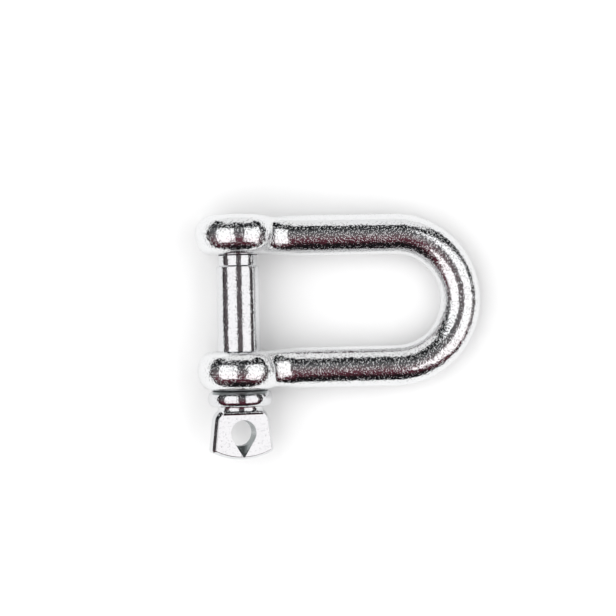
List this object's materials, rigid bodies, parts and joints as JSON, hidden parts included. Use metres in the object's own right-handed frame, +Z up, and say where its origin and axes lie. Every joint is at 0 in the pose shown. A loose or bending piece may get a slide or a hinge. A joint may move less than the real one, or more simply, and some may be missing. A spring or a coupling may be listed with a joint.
{
  "type": "chain joining shackle",
  "caption": "Screw-pin dee shackle for joining chain: a round bar bent to a bow with an eye at each end, closed by a collared pin with a flat, holed thumb tab.",
  "frame": {"origin": "on the pin's axis, midway between the two eyes", "axes": "+Y along the pin from its head to its thread, +X from the pin towards the bow, +Z up from the ground the shackle lies on"},
  "size_m": [0.0399, 0.034, 0.0118],
  "materials": {
    "zinc_body": "bright zinc plate over a slightly grainy forging",
    "zinc_pin": "bright zinc plate, smoother than the body"
  },
  "bodies": {
    "shackle": {"shackle_body": "zinc_body"},
    "pin": {"screw_pin": "zinc_pin"}
  },
  "joints": [
    {"name": "pin_withdraw", "type": "slide", "parent": "shackle", "child": "pin", "axis": [0, -1, 0], "range_m": [0, 0.0186]}
  ]
}
